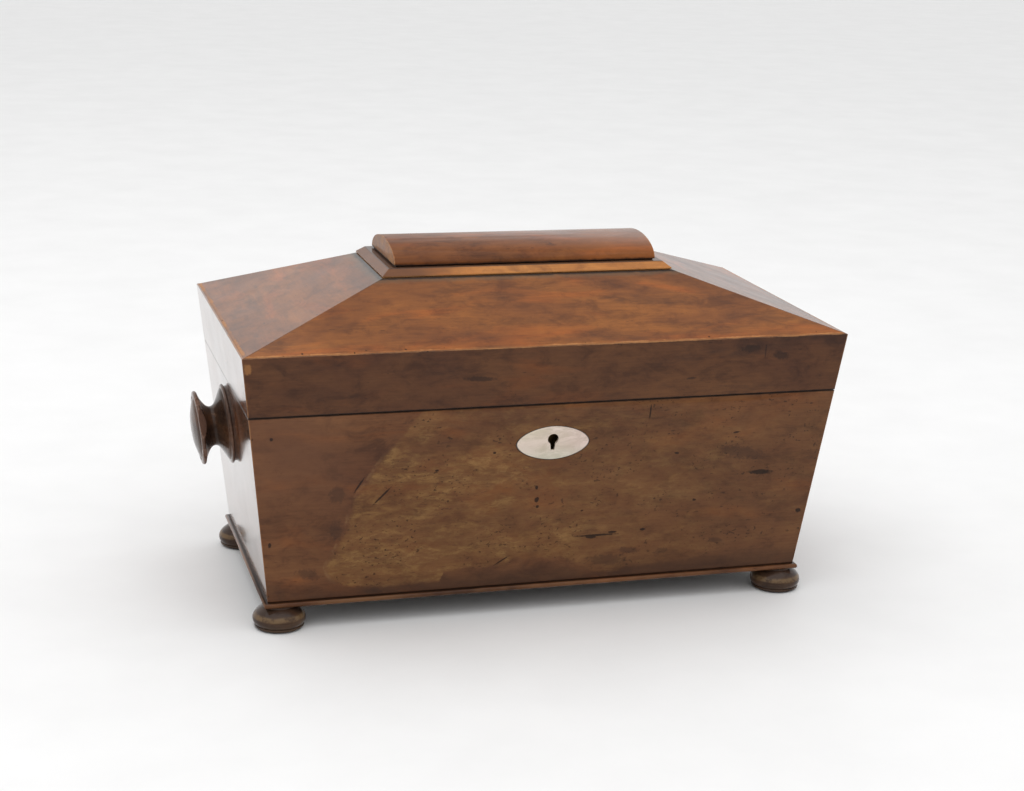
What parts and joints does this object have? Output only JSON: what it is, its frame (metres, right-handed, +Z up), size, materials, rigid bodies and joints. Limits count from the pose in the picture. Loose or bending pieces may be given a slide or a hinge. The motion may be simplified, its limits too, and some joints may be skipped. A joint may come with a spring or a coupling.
{
  "type": "tea caddy",
  "caption": "Sarcophagus-shaped wooden tea caddy with hinged hipped lid, lock, side knobs, bun feet, two lidded compartments and a glass mixing bowl.",
  "frame": {"origin": "on the table, under the middle of the case", "axes": "+X to the caddy's right, +Y to its back, +Z up"},
  "size_m": [0.3498, 0.175, 0.1902],
  "materials": {
    "mahogany_veneer": "figured mahogany veneer, worn french polish",
    "mahogany_hips": "figured mahogany, glossy polish",
    "mahogany_solid": "solid mahogany, satin polish",
    "ebonised_knob": "dark turned wood, glossy",
    "turned_foot": "dark turned wood, worn polish",
    "carcass": "bare pine and oak carcass",
    "interior_wood": "mahogany interior parts, satin",
    "mother_of_pearl": "iridescent shell, polished",
    "brass": "dull aged brass",
    "steel": "blued steel",
    "lead_foil": "dull lead-tin foil",
    "lining_paper": "matte lining paper",
    "bone": "turned bone",
    "bowl_glass": "clear flint glass"
  },
  "bodies": {
    "case": {"back_veneer": "mahogany_veneer", "back_wall": "carcass", "base_board": "carcass", "base_moulding_back": "mahogany_solid", "base_moulding_front": "mahogany_solid", "base_moulding_left": "mahogany_solid", "base_moulding_right": "mahogany_solid", "bowl_platform": "interior_wood", "bun_foot_back_left": "turned_foot", "bun_foot_back_right": "turned_foot", "bun_foot_front_left": "turned_foot", "bun_foot_front_right": "turned_foot", "front_veneer": "mahogany_veneer", "front_wall": "carcass", "hinge_case_leaf_left": "brass", "hinge_case_leaf_right": "brass", "hinge_case_screws": "steel", "hinge_pins": "steel", "keyhole_escutcheon": "mother_of_pearl", "left_veneer": "mahogany_veneer", "left_wall": "carcass", "lock_body": "brass", "lock_cap": "brass", "lock_screws": "steel", "lock_spring": "steel", "partition_left": "interior_wood", "partition_right": "interior_wood", "right_veneer": "mahogany_veneer", "right_wall": "carcass", "side_knob_left": "ebonised_knob", "side_knob_right": "ebonised_knob", "tea_foils": "lead_foil", "tea_ledges": "interior_wood"},
    "lid": {"hinge_lid_leaf_left": "brass", "hinge_lid_leaf_right": "brass", "hinge_lid_screws": "steel", "hip_panel_back": "mahogany_hips", "hip_panel_front": "mahogany_hips", "hip_panel_left": "mahogany_hips", "hip_panel_right": "mahogany_hips", "lid_lining": "lining_paper", "lid_plinth": "mahogany_solid", "lid_rail_back": "carcass", "lid_rail_front": "carcass", "lid_rail_left": "carcass", "lid_rail_right": "carcass", "lid_ridge": "mahogany_solid", "lid_top_board": "carcass", "link_plate": "brass", "link_plate_screws": "steel", "rim_veneer_back": "mahogany_veneer", "rim_veneer_front": "mahogany_veneer", "rim_veneer_left": "mahogany_veneer", "rim_veneer_right": "mahogany_veneer"},
    "tea_lid_left": {"tea_lid_left": "interior_wood", "tea_lid_pull_left": "bone"},
    "tea_lid_right": {"tea_lid_right": "interior_wood", "tea_lid_pull_right": "bone"},
    "bowl": {"mixing_bowl": "bowl_glass"},
    "bolt": {"lock_bolt": "brass"}
  },
  "joints": [
    {"name": "lid_hinge", "type": "hinge", "parent": "case", "child": "lid", "pos_m": [0, 0.0841, 0.1175], "axis": [-1, 0, 0], "range_deg": [0, 95]},
    {"name": "bolt_slide", "type": "slide", "parent": "case", "child": "bolt", "axis": [1, 0, 0], "range_m": [0, 0.0045]},
    {"name": "tea_lid_left_lift", "type": "slide", "parent": "case", "child": "tea_lid_left", "axis": [0, 0, 1], "range_m": [0, 0.03]},
    {"name": "tea_lid_right_lift", "type": "slide", "parent": "case", "child": "tea_lid_right", "axis": [0, 0, 1], "range_m": [0, 0.03]},
    {"name": "bowl_lift", "type": "slide", "parent": "case", "child": "bowl", "axis": [0, 0, 1], "range_m": [0, 0.045]}
  ]
}
